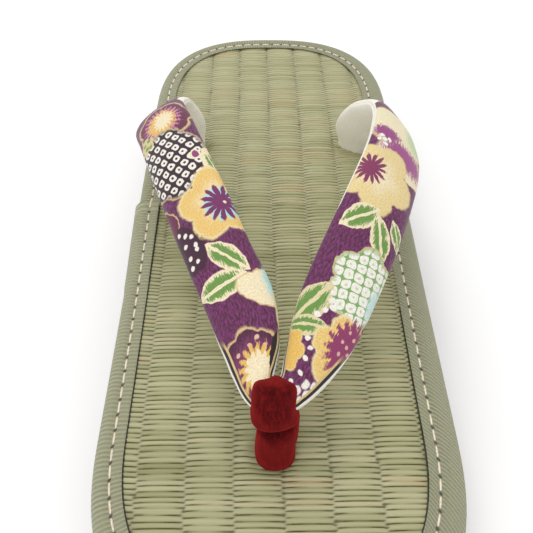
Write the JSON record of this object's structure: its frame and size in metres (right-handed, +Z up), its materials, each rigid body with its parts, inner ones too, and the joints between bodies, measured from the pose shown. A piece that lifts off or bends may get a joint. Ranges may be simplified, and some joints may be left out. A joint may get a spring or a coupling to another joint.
{
  "type": "zori sandal",
  "caption": "Flat oval Japanese sandal: rush footbed bound with tape, wedge sole, padded printed thong straps and a velvet toe post.",
  "frame": {"origin": "middle of the bounding box on the plane the sole stands on", "axes": "+Z up, +Y along the sole towards the wearer's heel, +X to the right when seen from the toe end looking at the heel"},
  "size_m": [0.0952, 0.2449, 0.0641],
  "materials": {
    "outsole_rubber": "matte moulded rubber",
    "midsole_foam": "matte closed-cell foam",
    "rush": "ribbed woven rush, slightly glossy",
    "binding_tape": "ribbed grosgrain tape",
    "crepe_print": "pebbled crepe with a floral print",
    "velvet": "short-pile velvet"
  },
  "bodies": {
    "root": {"rubber_outsole": "outsole_rubber", "foam_midsole": "midsole_foam", "rush_mat": "rush", "edge_tape": "binding_tape", "hanao_strap": "crepe_print", "toe_post": "velvet"}
  },
  "joints": []
}
